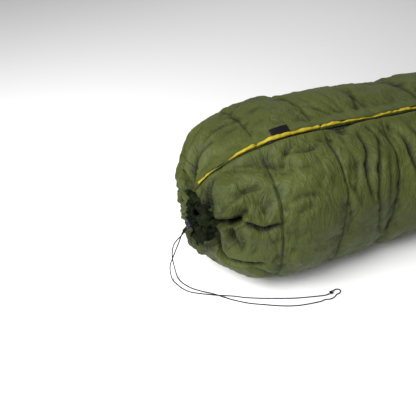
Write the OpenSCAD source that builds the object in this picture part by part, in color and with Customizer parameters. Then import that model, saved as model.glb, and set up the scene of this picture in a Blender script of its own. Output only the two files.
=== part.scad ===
// Quilted bivy sack: a padded tube with a drawcord-gathered foot, an open
// head end and a straight ridge zip under a stitched flap.
// +X runs from the foot to the head, -Y is the zip's side, +Z is up,
// and the origin is the middle of the base on the ground.

/* [Bag] */
// Length from the foot's front to the mouth
bag_len = 2000; // [1900:10:2100]
// Width across the foot
foot_w = 520; // [480:10:560]
// Width across the legs
leg_w = 430; // [400:10:460]
// Width across the shoulders
shoulder_w = 600; // [560:10:640]
// Width across the mouth
mouth_w = 540; // [500:10:580]
// Height of the ridge above the ground
bag_h = 375; // [360:5:390]
// Length of the rounded foot
foot_round = 323; // [300:1:340]
// Squareness of a cross-section (2 is an ellipse)
section_n = 2.7; // [2.4:0.1:3]

/* [Layers] */
// Thickness of the outer fabric with its face quilting
shell_t = 1; // [0.8:0.1:1.5]
// Thickness of the insulation
fill_t = 20; // [15:1:25]
// Thickness of the lining fabric
lining_t = 1; // [0.8:0.1:1.5]
// Width of the binding around the mouth
hem_w = 12; // [10:1:16]

/* [Zip] */
// Distance of the zip from the middle of the ridge
zip_off = 70; // [65:1:75]
// Gap between the two panels at the zip
slot_w = 14; // [12:1:16]
// Depth of the zip chain below the ridge
zip_depth = 9; // [8:1:12]
// Width of the stitched flap beside the zip
flap_w = 30; // [24:1:36]
// Diameter of the rolled draft tube
roll_d = 8.6; // [7:0.2:9]

/* [Cord] */
// Diameter of the drawcord
cord_d = 2.8; // [2.4:0.1:3.2]
// Radius of the gathered hem's middle line
gather_r = 12; // [11:1:14]
// Diameter of the cord lock's barrel
lock_d = 16; // [14:1:17]

/* [Hidden] */

cap_n = 2.365;                   // squareness of the foot seen from above
nose_z = 124;                    // height of the foot's foremost point
sink = 10;                       // how far the round base is pressed flat
mouth_s = bag_len - hem_w;       // where the panels end
total_t = shell_t + fill_t + lining_t;
seam_front = 232;                // section angle of the seam with the base
seam_back = -52;
seam_gap = 0.2;                  // half the gap between panels at a seam, as an angle
slot_front = -zip_off - slot_w / 2;
slot_back = -zip_off + slot_w / 2;
clear = 0.2;                     // gap between sewn-on pieces

gather_at = [18, -90, 227];      // centre of the gathered opening, from the foot
gather_axis = [-0.64, -0.48, 0.6];
gather_up = unit([0, 0, 1] - gather_axis.z * gather_axis);
gather_side = cross(gather_axis, gather_up);
nose_bulge = 17;                 // how far the fabric stands out around the gather
bulge_from = 40;                 // distance from the gather where it starts to stand out
bulge_over = 60;                 // and how much farther off it does so in full
bulge_peak = 27 / 4;             // brings the highest value of t * t * (1 - t) to 1
hem_r = 4;                       // radius of the rolled hem
channel_r = 1.9;                 // radius of the channel that the cord runs in
hem_up = 7;                      // gap between the fabric and the rolled hem
hem_at = gather_at + (hem_r + hem_up) * gather_axis;
exit_gap = 3;                    // half the distance between the cord's two exits

olive = [0.36, 0.41, 0.23];
yellow = [0.78, 0.70, 0.16];
black = [0.07, 0.07, 0.08];

// ---- vectors and curves ----
function unit(v) = v / norm(v);
function spow(v, p) = sign(v) * pow(abs(v), p);
function ease(a, b, t) = a + (b - a) * (1 - cos(180 * min(max(t, 0), 1))) / 2;

// Width of the bag at a distance from the foot
function width_at(s) =
    s < 550 ? ease(foot_w, leg_w, s / 550)
    : s < 1350 ? ease(leg_w, shoulder_w, (s - 750) / 600)
    : ease(shoulder_w, mouth_w, (s - 1350) / 650);

// Share of the full section that the rounded foot has reached
function cap_at(s) =
    s >= foot_round ? 1 : pow(1 - pow(1 - s / foot_round, cap_n), 1 / cap_n);

// A station is [distance, share of full section, share of gather, inward normal, bulge]
function slope_at(s) =
    let (h = min(8, s / 2), r = foot_w * 0.42)
    unit([r * (cap_at(s + h) - cap_at(s - h)), 2 * h]);
function station(s) = [s, cap_at(s), 0, slope_at(s), 0];

round_angles = [24, 38, 52, 66, 78, 90];
round_foot = [
    for (f = round_angles)
        station(foot_round * (1 - pow(cos(f), 2 / cap_n)))
];
nose = [
    for (t = [0, 0.15, 0.4, 0.7])
        let (st = round_foot[0])
        [st[0], st[1], 1 - t, unit([1, 0.6 * t]), nose_bulge * bulge_peak * t * t * (1 - t)]
];
straight = [
    for (s = [450, 600, 750, 900, 1050, 1200, 1350, 1500, 1650, 1820, mouth_s]) station(s)
];
all_stations = concat(nose, round_foot, straight);
padded_stations = concat(round_foot, straight); // the padding and lining end before the gather
hem_stations = [station(mouth_s), station(bag_len)];

// Angle on the section of a line at a set distance beside the ridge
function edge_angle(st, d, y) =
    90 + asin(pow(abs(y) * st[1] / (st[1] * width_at(st[0]) / 2 - d * st[3].y), section_n / 2));

// An edge is [0, angle] or [1, distance from the ridge]
function angle_of(st, d, edge) = edge[0] == 0 ? edge[1] : edge_angle(st, d, edge[1]);

// Point on the bag at a station, a depth below the outer surface and an angle
function section_point(st, d, a) =
    let (
        c = st[1],
        w = c * width_at(st[0]) / 2 - d * st[3].y,
        h = c * bag_h / 2 - d * st[3].y,
        low = h + sink * c,
        off = pow(1 - c, 3),
        y = gather_at.y * off + w * spow(cos(a), 2 / section_n),
        mid = nose_z + (bag_h / 2 - nose_z) * c + (gather_at.z - nose_z) * off,
        z = mid + (sin(a) < 0 ? low : h) * spow(sin(a), 2 / section_n)
    )
    [st[0] + d * st[3].x, y, max(z, d)];
function gather_point(d, a) =
    gather_at - gather_axis * d * 0.5
    + (gather_r - 1) * (cos(a) * gather_side + sin(a) * gather_up);
function bulge_share(p) = min(1, max(0, norm(p - gather_at) - bulge_from) / bulge_over);
function bag_point(st, d, a) =
    let (
        q = section_point(st, d, a),
        p = st[2] * gather_point(d, a) + (1 - st[2]) * q
    )
    [p.x - st[4] * bulge_share(q) - bag_len / 2, p.y, p.z];

function line_on(st, d, e0, e1, n) =
    let (a0 = angle_of(st, d, e0), a1 = angle_of(st, d, e1))
    [for (j = [0:n]) bag_point(st, d, a0 + (a1 - a0) * j / n)];

// ---- solids between two grids of points ----
function flat(rows) = [for (r = rows) each r];
function quads(at, rows, cols, flip) = [
    for (i = [0:rows - 2], j = [0:cols - 2])
        let (a = at + i * cols + j, b = a + 1, c = b + cols, d = a + cols)
        each flip ? [[a, b, c], [a, c, d]] : [[a, c, b], [a, d, c]]
];
function rim(rows, cols) =
    let (
        loop = concat(
            [for (j = [0:cols - 1]) j],
            [for (i = [1:rows - 1]) i * cols + cols - 1],
            [for (j = [cols - 2:-1:0]) (rows - 1) * cols + j],
            [for (i = [rows - 2:-1:1]) i * cols]
        ),
        n = len(loop), m = rows * cols
    )
    [
        for (k = [0:n - 1])
            let (a = loop[k], b = loop[(k + 1) % n])
            each [[a, b, b + m], [a, b + m, a + m]]
    ];

module slab(outer, inner) {
    rows = len(outer);
    cols = len(outer[0]);
    polyhedron(
        concat(flat(outer), flat(inner)),
        concat(rim(rows, cols), quads(0, rows, cols, false), quads(rows * cols, rows, cols, true))
    );
}

// A piece of the bag's wall between two edges and two depths
module wall(e0, e1, d0, d1, n, stations) {
    slab(
        [for (st = stations) line_on(st, d0, e0, e1, n)],
        [for (st = stations) line_on(st, d1, e0, e1, n)]
    );
}

module front_wall(d0, d1, stations) {
    backwards = [for (i = [len(stations) - 1:-1:0]) stations[i]];
    wall([0, seam_front - seam_gap], [1, slot_front], d0, d1, 10, backwards);
}
module back_wall(d0, d1, stations) {
    wall([0, seam_back + seam_gap], [1, slot_back], d0, d1, 10, stations);
}
module base_wall(d0, d1, stations) {
    wall([0, seam_front + seam_gap], [0, 360 + seam_back - seam_gap], d0, d1, 7, stations);
}

// A tube through rings of points, closed at both ends
module tube(rings) {
    n = len(rings[0]);
    k = len(rings);
    polyhedron(
        flat(rings),
        concat(
            [[for (j = [n - 1:-1:0]) j]],
            [for (i = [0:k - 2], j = [0:n - 1])
                let (a = i * n + j, b = i * n + (j + 1) % n)
                each [[a, b, b + n], [a, b + n, a + n]]],
            [[for (j = [0:n - 1]) (k - 1) * n + j]]
        )
    );
}

// Points along a smooth curve through a route, steps per stretch
function smooth(p, steps) =
    let (n = len(p) - 1)
    concat(
        [
            for (i = [0:n - 1], k = [0:steps - 1])
                let (
                    t = k / steps,
                    a = p[max(i - 1, 0)], b = p[i], c = p[i + 1], d = p[min(i + 2, n)]
                )
                (2 * b + (c - a) * t + (2 * a - 5 * b + 4 * c - d) * t * t
                 + (3 * b - a - 3 * c + d) * t * t * t) / 2
        ],
        [p[n]]
    );

module cord(route, r, sides) {
    p = smooth(route, 2);
    n = len(p) - 1;
    tube([
        for (i = [0:n])
            let (
                dir = unit(p[min(i + 1, n)] - p[max(i - 1, 0)]),
                across = unit(cross(dir, abs(dir.z) > 0.9 ? [1, 0, 0] : [0, 0, 1])),
                up = cross(across, dir)
            )
            [for (j = [0:sides - 1])
                p[i] + r * (cos(360 * j / sides) * across + sin(360 * j / sides) * up)]
    ]);
}

// ---- bag ----
module shell_front() { color(olive) front_wall(0, shell_t, all_stations); }
module shell_back() { color(olive) back_wall(0, shell_t, all_stations); }
module shell_base() { color(olive) base_wall(0, shell_t, all_stations); }

module insulation_front() { color("white") front_wall(shell_t, shell_t + fill_t, padded_stations); }
module insulation_back() { color("white") back_wall(shell_t, shell_t + fill_t, padded_stations); }
module insulation_base() { color("white") base_wall(shell_t, shell_t + fill_t, padded_stations); }

module lining_front() { color(yellow) front_wall(shell_t + fill_t, total_t, padded_stations); }
module lining_back() { color(yellow) back_wall(shell_t + fill_t, total_t, padded_stations); }
module lining_base() { color(yellow) base_wall(shell_t + fill_t, total_t, padded_stations); }

// Binding around the mouth, open at the zip
module head_hem() {
    color(olive)
        wall([1, slot_front], [0, 360 + edge_angle(station(mouth_s), 0, slot_back)],
            0, total_t, 30, hem_stations);
}

// ---- gathered foot ----
module at_gather() {
    translate(hem_at - [bag_len / 2, 0, 0])
        rotate([0, acos(gather_axis.z), atan2(gather_axis.y, gather_axis.x)])
            children();
}

// The same turn about the gather's axis as its downward direction
function exit_turn() =
    let (
        t = atan2(gather_axis.y, gather_axis.x), q = acos(gather_axis.z),
        u = [cos(q) * cos(t), cos(q) * sin(t), -sin(q)], v = [-sin(t), cos(t), 0]
    )
    atan2(-gather_up * v, -gather_up * u);

module ring_round(major, minor) {
    rotate_extrude($fn = 48) translate([major, 0]) circle(r = minor, $fn = 24);
}

// Rolled hem with a channel for the cord and two ways out of it
module foot_hem() {
    color(olive)
        at_gather()
            difference() {
                ring_round(gather_r, hem_r);
                ring_round(gather_r, channel_r);
                for (side = [-1, 1])
                    rotate([0, 0, exit_turn()])
                        translate([gather_r, side * exit_gap, 0])
                            rotate([0, 90, 0]) cylinder(h = 2 * hem_r, r = channel_r, $fn = 24);
            }
}

// The part of the cord that stays inside the hem
module hem_cord() {
    color(black) at_gather() ring_round(gather_r, cord_d / 2);
}

// ---- zip ----
module zip_flap() {
    edge = -zip_off + slot_w;
    color(olive)
        wall([1, edge], [1, edge + flap_w], -3.2, -clear, 3, padded_stations);
}

// Rolled edge of the lining that stands beside the zip
module draft_tube() {
    y = -zip_off + slot_w - clear - roll_d / 2 - 0.1;
    color(yellow)
        tube([
            for (i = [len(padded_stations) - 1:-1:0])
                let (
                    st = padded_stations[i],
                    mid = bag_point(st, -roll_d / 2 - 2 * clear, edge_angle(st, 0, y)),
                    out = [-st[3].x, 0, st[3].y],
                    r = roll_d / 2 * (0.4 + 0.6 * st[1])
                )
                [for (j = [0:7]) mid + r * (cos(45 * j) * [0, 1, 0] + sin(45 * j) * out)]
        ]);
}

label_len = 41;
label_at = 205;
module label() {
    edge = -zip_off + slot_w - 1;
    color(black)
        wall([1, edge], [1, edge + 18], -4.6, -3.2 - clear, 2,
            [station(label_at), station(label_at + label_len / 2), station(label_at + label_len)]);
}

chain_z = bag_h - zip_depth;
zip_from = 190;
zip_to = bag_len - 30;
coil_w = 2.6;
coil_h = 2.2;
web_gap = 1.2;                   // gap between the coils that the slider's web runs in
tape_t = 0.6;
tape_gap = 1.8;                  // gap between a tape and the panel beside it

module zip_bar(y0, y1, h) {
    translate([zip_from - bag_len / 2, min(y0, y1), chain_z - h / 2])
        cube([zip_to - zip_from, abs(y1 - y0), h]);
}
coil_out = web_gap / 2 + coil_w;
module zip_tape_front() { color(black) zip_bar(slot_front + tape_gap, -zip_off - coil_out, tape_t); }
module zip_tape_back() { color(black) zip_bar(slot_back - tape_gap, -zip_off + coil_out, tape_t); }
module zip_coil_front() { color(black) zip_bar(-zip_off - coil_out, -zip_off - web_gap / 2, coil_h); }
module zip_coil_back() { color(black) zip_bar(-zip_off + coil_out, -zip_off + web_gap / 2, coil_h); }

module zip_stop(s, y, w) {
    translate([s - bag_len / 2, y - w / 2, chain_z - 1.6]) cube([5, w, 3.2]);
}
module zip_stop_foot() { color(black) zip_stop(zip_from - 5, -zip_off, 9); }
module zip_stop_front() { color("silver") zip_stop(zip_to, -zip_off - 2.6, 3.4); }
module zip_stop_back() { color("silver") zip_stop(zip_to, -zip_off + 2.6, 3.4); }

slider_len = 12;
slider_w = 8.6;
slider_s = zip_to - 8;           // the slider's middle when the bag is closed
plate_t = 1.2;
plate_gap = 2.8;                 // between the slider's two plates
pivot_up = plate_gap / 2 + plate_t + 1.1;
bail_len = 7;
module zip_slider() {
    color(black)
        translate([slider_s - bag_len / 2, -zip_off, chain_z]) {
            for (side = [-1, 1]) {
                translate([0, 0, side * (plate_gap + plate_t) / 2])
                    cube([slider_len, slider_w, plate_t], center = true);
                for (edge = [-1, 1])
                    translate([0, edge * (slider_w - 0.8) / 2, side * (plate_gap / 2 - 0.3)])
                        cube([slider_len, 0.8, 0.8], center = true);
            }
            cube([slider_len - 4, 0.8, plate_gap + plate_t], center = true);
            translate([0, 0, plate_gap / 2 + plate_t - 0.2])
                difference() {
                    translate([-bail_len / 2, -1, 0]) cube([bail_len, 2, 3.4]);
                    translate([-bail_len / 2 + 1, -2, 0.1]) cube([bail_len - 2, 4, 2.4]);
                }
        }
}

puller_len = 26;
module zip_puller() {
    color(black)
        translate([slider_s - bag_len / 2, -zip_off, chain_z + pivot_up]) {
            rotate([90, 0, 0]) cylinder(h = 6, r = 0.7, center = true, $fn = 24);
            for (side = [-1, 1])
                translate([-6, side * 2.3, 0]) cube([11.4, 1.4, 1.2], center = true);
            translate([-puller_len / 2 - 5, 0, 0]) cube([puller_len - 10, 6.6, 1.2], center = true);
        }
}

// ---- cord lock ----
lock_at = [-bag_len / 2 - 9, -95, 200];
lock_turn = atan(3 / 4);         // tilt of the strands through the lock, off the vertical
strand_gap = 4;
lock_len = 24;
lock_wall = 1.5;
press = 3.5;                     // travel of the button
button_out = 5;                  // how far the button stands out

// The lock's own frame: its middle, with the strands along Z and the button at -Y
module at_lock() {
    translate(lock_at) rotate([0, lock_turn, 0]) children();
}
module strand_slot(y0, y1, h) {
    for (y = [y0, y1]) translate([0, y, 0]) cylinder(h = h, r = 1.9, center = true, $fn = 24);
    translate([-1.9, y0, -h / 2]) cube([3.8, y1 - y0, h]);
}
module cord_lock_body() {
    color(black)
        at_lock()
            difference() {
                translate([0, 1, 0]) rotate([90, 0, 0])
                    cylinder(h = lock_len, d = lock_d, center = true, $fn = 48);
                translate([0, 1 + lock_len / 2 - lock_wall, 0])
                    rotate([90, 0, 0]) cylinder(h = lock_len, r = 5.6, $fn = 48);
                strand_slot(-strand_gap / 2, strand_gap / 2, 2 * lock_d);
            }
}
plunger_end = 5.5;
module cord_lock_plunger() {
    front = 1 - lock_len / 2 - button_out;
    color(black)
        at_lock()
            difference() {
                translate([0, front, 0])
                    rotate([-90, 0, 0]) cylinder(h = plunger_end - front, r = 5.3, $fn = 48);
                strand_slot(-strand_gap / 2 - press, strand_gap / 2, 2 * lock_d);
            }
}
spring_turns = 4;
module cord_lock_spring() {
    color("silver")
        at_lock()
            for (k = [0:spring_turns - 1])
                translate([0, plunger_end + press + 0.4 + 0.6 * k, 0])
                    rotate([90, 0, 0])
                        rotate_extrude($fn = 32) translate([3.6, 0]) circle(r = 0.25, $fn = 16);
}

// ---- drawcord: round points from the hem to the knot ----
route_a = [
    [-998, -99, 222], [-1000, -99, 216], [-1001, -96, 211], [-1003, -93, 208],
    [-1015, -93, 192], [-1024, -93, 180], [-1028, -90, 166], [-1033, -85, 141],
    [-1042, -82, 112], [-1052, -82, 84], [-1059, -81, 62], [-1061, -80, 40],
    [-1060, -80, 18], [-1058, -86, 4], [-1053, -98, 2], [-1042, -119, 2],
    [-1026, -136, 2], [-1004, -149, 2], [-968, -167, 2], [-928, -184, 2],
    [-897, -200, 2], [-847, -220, 2], [-782, -242, 2], [-724, -256, 2],
    [-704, -260, 2.5], [-694, -260, 4.5]
];
route_b = [
    [-994, -102, 222], [-997, -104, 216], [-1000, -100, 211], [-1003, -97, 208],
    [-1015, -97, 192], [-1024, -97, 180], [-1031, -93, 166], [-1040, -85, 146],
    [-1047, -79, 124], [-1051, -77, 96], [-1051, -76, 70], [-1049, -77, 48],
    [-1047, -79, 28], [-1045, -81, 12], [-1043, -86, 3], [-1036, -103, 2],
    [-1020, -125, 2], [-998, -144, 2.5], [-981, -157, 4.6], [-966, -169, 5.2],
    [-950, -182, 4.6], [-932, -195, 2.5], [-900, -216, 2], [-861, -235, 2],
    [-820, -253, 2], [-781, -265, 2], [-729, -272, 2], [-713, -271, 2],
    [-699, -274, 2], [-686, -272, 2], [-676, -267, 2], [-667, -266, 2],
    [-661, -260, 2], [-665, -254, 2], [-673, -253, 2], [-681, -256, 4.5]
];
knot_at = [-688, -259, 5.8];

module cord_strand_a() { color(black) cord(route_a, cord_d / 2, 8); }
module cord_strand_b() { color(black) cord(route_b, cord_d / 2, 8); }
module cord_knot() {
    color(black)
        translate(knot_at) {
            sphere(r = 4, $fn = 32);
            rotate([0, 35, 0]) ring_round(3.3, 2.1);
        }
}

shell_front();
shell_back();
shell_base();
insulation_front();
insulation_back();
insulation_base();
lining_front();
lining_back();
lining_base();
head_hem();
foot_hem();
hem_cord();
zip_flap();
draft_tube();
label();
zip_tape_front();
zip_tape_back();
zip_coil_front();
zip_coil_back();
zip_stop_foot();
zip_stop_front();
zip_stop_back();
zip_slider();
zip_puller();
cord_lock_body();
cord_lock_plunger();
cord_lock_spring();
cord_strand_a();
cord_strand_b();
cord_knot();
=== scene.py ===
"""Quilted bivy sack: creased fabric over the CAD frame, with its zip, flap, gathered foot and drawcord.

+X runs from the foot to the head, -Y is the zip's side and +Z is up. On the sack, a place is given by v,
the distance along the fabric from the gather in metres, and by the angle on the cross-section in degrees:
90 is the ridge, 180 is the zip's side, 270 is the ground and 360 is the far side.
"""

import math

import bmesh
import bpy
import numpy as np
from mathutils import Matrix, Vector, noise


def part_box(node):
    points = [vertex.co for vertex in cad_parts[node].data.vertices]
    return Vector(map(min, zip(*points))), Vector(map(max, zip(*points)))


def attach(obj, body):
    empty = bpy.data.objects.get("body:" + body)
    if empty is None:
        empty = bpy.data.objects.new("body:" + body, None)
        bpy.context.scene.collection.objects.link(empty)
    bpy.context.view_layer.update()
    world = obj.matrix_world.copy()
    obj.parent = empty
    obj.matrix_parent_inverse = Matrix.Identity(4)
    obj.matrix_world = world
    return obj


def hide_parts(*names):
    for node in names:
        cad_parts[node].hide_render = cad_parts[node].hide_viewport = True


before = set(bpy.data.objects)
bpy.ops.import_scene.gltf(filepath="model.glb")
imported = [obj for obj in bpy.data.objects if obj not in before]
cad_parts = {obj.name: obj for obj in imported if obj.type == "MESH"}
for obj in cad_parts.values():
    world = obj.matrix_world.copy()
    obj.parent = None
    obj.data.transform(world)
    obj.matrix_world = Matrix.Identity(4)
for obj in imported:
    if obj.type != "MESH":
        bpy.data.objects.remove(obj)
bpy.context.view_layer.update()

MM = 0.001


def node_box(node):
    """A CAD node's low corner, high corner, middle and size, in metres."""
    low, high = (np.array(corner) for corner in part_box(node))
    return low, high, (low + high) / 2, high - low


def unit(vectors):
    return vectors / (np.linalg.norm(vectors, axis=-1, keepdims=True) + 1e-12)


def add_object(name, data, material=None, body=None):
    """Puts data into the scene as an object; a visible piece has a material and rides on a body."""
    thing = bpy.data.objects.new(name, data)
    bpy.context.collection.objects.link(thing)
    if material:
        data.materials.append(material)
    if body:
        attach(thing, body)
    return thing


def file_under(thing, node=None):
    """Hides the CAD node that a piece stands for, where there is one; the piece itself is not used."""
    if node:
        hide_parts(node)


# ---- camera, floor and light ----
CAMERA_AT = (-1.188, -0.734, 0.859)
CAMERA_YAW = 19.4
CAMERA_PITCH = 42.5


def make_camera():
    data = bpy.data.cameras.new("camera")
    data.lens = 35
    data.sensor_width = 36
    camera = add_object("camera", data)
    camera.location = CAMERA_AT
    camera.rotation_euler = (math.radians(90 - CAMERA_PITCH), 0, math.radians(-CAMERA_YAW))
    bpy.context.scene.camera = camera


def area_light(name, at, towards, size, energy):
    data = bpy.data.lights.new(name, "AREA")
    data.size = size
    data.energy = energy
    lamp = add_object(name, data)
    lamp.location = at
    lamp.rotation_euler = (Vector(towards) - Vector(at)).to_track_quat("-Z", "Y").to_euler()


def make_studio():
    world = bpy.data.worlds.new("studio")
    world.use_nodes = True
    sky = world.node_tree.nodes["Background"]
    set_inputs(world.node_tree, sky, {"Color": (1, 1, 1, 1), "Strength": 0.34})
    bpy.context.scene.world = world
    bpy.context.scene.view_settings.view_transform = "Standard"
    area_light("key", (-2.1, -0.6, 1.8), (-0.8, -0.05, 0.2), 1.1, 84)
    area_light("fill", (1.4, -2.4, 1.7), (0, 0, 0.1), 2.0, 2.5)
    area_light("rim", (0.6, 2.2, 1.9), (0, 0, 0.2), 1.6, 10)
    bpy.ops.mesh.primitive_plane_add(size=14, location=(0, 0, -0.0005))
    floor = bpy.context.object
    floor.name = "floor"
    material, tree = new_material("pale_floor")
    mottle = add(tree, "ShaderNodeTexNoise", {"Scale": 3.0, "Detail": 2.0}).outputs["Fac"]
    set_shader(tree, {"Base Color": between(tree, mottle, (0.90, 0.90, 0.90), (0.92, 0.92, 0.92)),
                      "Roughness": 0.6})
    floor.data.materials.append(material)


# ---- material helpers ----
def new_material(name):
    material = bpy.data.materials.new(name)
    material.use_nodes = True
    return material, material.node_tree


def set_inputs(tree, node, values):
    """Sets a node's inputs; a value is a constant, or another node's output."""
    for key, value in values.items():
        if isinstance(value, bpy.types.NodeSocket):
            tree.links.new(value, node.inputs[key])
        else:
            node.inputs[key].default_value = value


def set_shader(tree, values):
    set_inputs(tree, tree.nodes["Principled BSDF"], values)


def add(tree, kind, inputs, **settings):
    node = tree.nodes.new(kind)
    for key, value in settings.items():
        setattr(node, key, value)
    set_inputs(tree, node, inputs)
    return node


def object_coords(tree):
    return add(tree, "ShaderNodeTexCoord", {}).outputs["Object"]


def speckle(tree, place, scale, detail, **more):
    inputs = {"Vector": place, "Scale": scale, "Detail": detail, **more}
    return add(tree, "ShaderNodeTexNoise", inputs).outputs["Fac"]


def between(tree, source, low, high, start=0.3, end=0.7, **settings):
    """A colour or a number that runs between two values as a pattern runs from start to end."""
    if isinstance(low, tuple):
        ramp = add(tree, "ShaderNodeValToRGB", {"Fac": source})
        for stop, place, colour in zip(ramp.color_ramp.elements, (start, end), (low, high)):
            stop.position = place
            stop.color = (*colour, 1)
        return ramp.outputs["Color"]
    inputs = {"Value": source, "From Min": start, "From Max": end, "To Min": low, "To Max": high}
    return add(tree, "ShaderNodeMapRange", inputs, **settings).outputs["Result"]


def darkened(tree, share, colour, dark):
    """A colour mixed towards a constant darker one by a share."""
    mix = add(tree, "ShaderNodeMix", {0: share, 6: colour, 7: (*dark, 1)}, data_type="RGBA")
    return mix.outputs[2]


def math_node(tree, operation, a, b=0.0):
    return add(tree, "ShaderNodeMath", {0: a, 1: b}, operation=operation).outputs["Value"]


def bump(tree, layers):
    """A normal with stacked bumps; a layer is (pattern, strength, distance)."""
    normal = None
    for height, strength, distance in layers:
        inputs = {"Height": height, "Strength": strength, "Distance": distance}
        if normal:
            inputs["Normal"] = normal
        normal = add(tree, "ShaderNodeBump", inputs).outputs["Normal"]
    return normal


def cloth_weave(tree, pitch):
    """A plain weave: two crossed sets of threads, from the cloth's own coordinates in metres."""
    coords = add(tree, "ShaderNodeUVMap", {}, uv_map="cloth").outputs["UV"]
    inputs = {"Vector": coords, "Scale": 2 * math.pi / 20 / pitch}
    warp, weft = (add(tree, "ShaderNodeTexWave", inputs, bands_direction=way).outputs["Fac"] for way in "XY")
    return coords, math_node(tree, "MAXIMUM", warp, weft)


# ---- materials ----
RING_SEAM_AT = 0.246
RING_SPACING = 0.152
STITCH = 3.5 * MM


def seam_lines(tree, coords):
    """The sewn lines around the quilting, and the stitches along them."""
    split = add(tree, "ShaderNodeSeparateXYZ", {0: coords})
    along = math_node(tree, "SUBTRACT", split.outputs["Y"], RING_SEAM_AT)
    away = math_node(tree, "PINGPONG", along, RING_SPACING / 2)
    line = between(tree, away, 1.0, 0.0, 0.5 * MM, 1.6 * MM, interpolation_type="SMOOTHSTEP")
    turn = math_node(tree, "MULTIPLY", split.outputs["X"], 2 * math.pi / STITCH)
    dash = math_node(tree, "GREATER_THAN", math_node(tree, "SINE", turn), -0.2)
    return line, math_node(tree, "MULTIPLY", line, dash)


def quilted_fabric(name, dark, light, rough=(0.54, 0.68), sheen=0.02, tint=(0.7, 0.8, 0.4)):
    """Thin creased cloth, darker along its sewn rings, with painted shade in its hollows and around the
    gather.
    """
    material, tree = new_material(name)
    place = object_coords(tree)
    coords, weave = cloth_weave(tree, 0.45 * MM)
    line, stitches = seam_lines(tree, coords)
    plain = between(tree, speckle(tree, place, 9.0, 5.0, Roughness=0.6), dark, light)
    seamed = darkened(tree, line, plain, [0.45 * part for part in dark])
    # the hollow attribute holds the painted shade, read from the mesh
    hollow = add(tree, "ShaderNodeAttribute", {}, attribute_name="hollow").outputs["Fac"]
    stretched = add(tree, "ShaderNodeMapping", {"Vector": place, "Scale": (1.6, 1.0, 0.6)}).outputs["Vector"]
    crinkle = speckle(tree, stretched, 26.0, 4.0, Roughness=0.55, Distortion=1.2)
    creases = math_node(tree, "ABSOLUTE", math_node(tree, "SUBTRACT", crinkle, 0.5))
    set_shader(tree, {
        # painted shade: the colour darkened towards near black in creases and around the gather
        "Base Color": darkened(tree, hollow, seamed, [0.12 * part for part in dark]),
        "Roughness": between(tree, speckle(tree, place, 30.0, 3.0), *rough),
        "Specular IOR Level": 0.22,
        "Sheen Weight": sheen, "Sheen Roughness": 0.4, "Sheen Tint": (*tint, 1),
        "Normal": bump(tree, [(creases, 0.8, 12 * MM), (weave, 0.12, 0.2 * MM), (stitches, 0.4, 0.5 * MM)]),
    })
    return material


def plain_fabric(name, dark, light, pitch, rough, sheen=0.02, tint=(0.8, 0.8, 0.8), gloss=0.2):
    material, tree = new_material(name)
    weave = cloth_weave(tree, pitch)[1]
    shade = speckle(tree, object_coords(tree), 60.0, 4.0)
    set_shader(tree, {
        "Base Color": between(tree, shade, dark, light),
        "Roughness": between(tree, shade, rough - 0.05, rough + 0.05),
        "Specular IOR Level": gloss,
        "Sheen Weight": sheen, "Sheen Tint": (*tint, 1),
        "Normal": bump(tree, [(shade, 0.3, 2 * MM), (weave, 0.4, pitch / 3)]),
    })
    return material


def hard_material(name, dark, light, rough, metallic=0.0):
    material, tree = new_material(name)
    place = object_coords(tree)
    grain = speckle(tree, place, 900.0, 3.0)
    patch = speckle(tree, place, 120.0, 2.0)
    set_shader(tree, {
        "Base Color": between(tree, patch, dark, light),
        "Roughness": between(tree, patch, rough - 0.06, rough + 0.08),
        "Metallic": metallic,
        "Normal": bump(tree, [(grain, 0.15, 0.1 * MM)]),
    })
    return material


def braid_material(name, dark, light):
    """Crossed diagonal threads around a cord."""
    material, tree = new_material(name)
    place = object_coords(tree)
    waves = []
    for turn in (math.radians(45), math.radians(-45)):
        spun = add(tree, "ShaderNodeMapping", {"Vector": place, "Rotation": (turn, turn, 0)})
        inputs = {"Vector": spun.outputs["Vector"], "Scale": 300.0}
        waves.append(add(tree, "ShaderNodeTexWave", inputs).outputs["Fac"])
    plait = math_node(tree, "MAXIMUM", *waves)
    set_shader(tree, {
        "Base Color": between(tree, plait, dark, light),
        "Roughness": 0.8,
        "Specular IOR Level": 0.15,
        "Normal": bump(tree, [(plait, 0.6, 0.3 * MM)]),
    })
    return material


OLIVE_DARK = (0.038, 0.047, 0.007)
OLIVE_LIGHT = (0.056, 0.068, 0.013)
YELLOW_DARK = (0.25, 0.19, 0.006)
YELLOW_LIGHT = (0.38, 0.30, 0.014)


def dim(red, green, blue):
    """A very dark colour, given in thousandths."""
    return red / 1000, green / 1000, blue / 1000


# ---- cords: the route's points repeat the CAD's, in metres ----
CORD_WIDTH = 2.8 * MM
ROUTE_A = [
    (-0.998, -0.099, 0.222), (-1.000, -0.099, 0.216), (-1.001, -0.096, 0.211), (-1.003, -0.093, 0.208),
    (-1.015, -0.093, 0.192), (-1.024, -0.093, 0.180), (-1.028, -0.090, 0.166), (-1.033, -0.085, 0.141),
    (-1.042, -0.082, 0.112), (-1.052, -0.082, 0.084), (-1.059, -0.081, 0.062), (-1.061, -0.080, 0.040),
    (-1.060, -0.080, 0.018), (-1.058, -0.086, 0.004), (-1.053, -0.098, 0.002), (-1.042, -0.119, 0.002),
    (-1.026, -0.136, 0.002), (-1.004, -0.149, 0.002), (-0.968, -0.167, 0.002), (-0.928, -0.184, 0.002),
    (-0.897, -0.200, 0.002), (-0.847, -0.220, 0.002), (-0.782, -0.242, 0.002), (-0.724, -0.256, 0.002),
    (-0.704, -0.260, 0.0025), (-0.694, -0.260, 0.0045),
]
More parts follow.
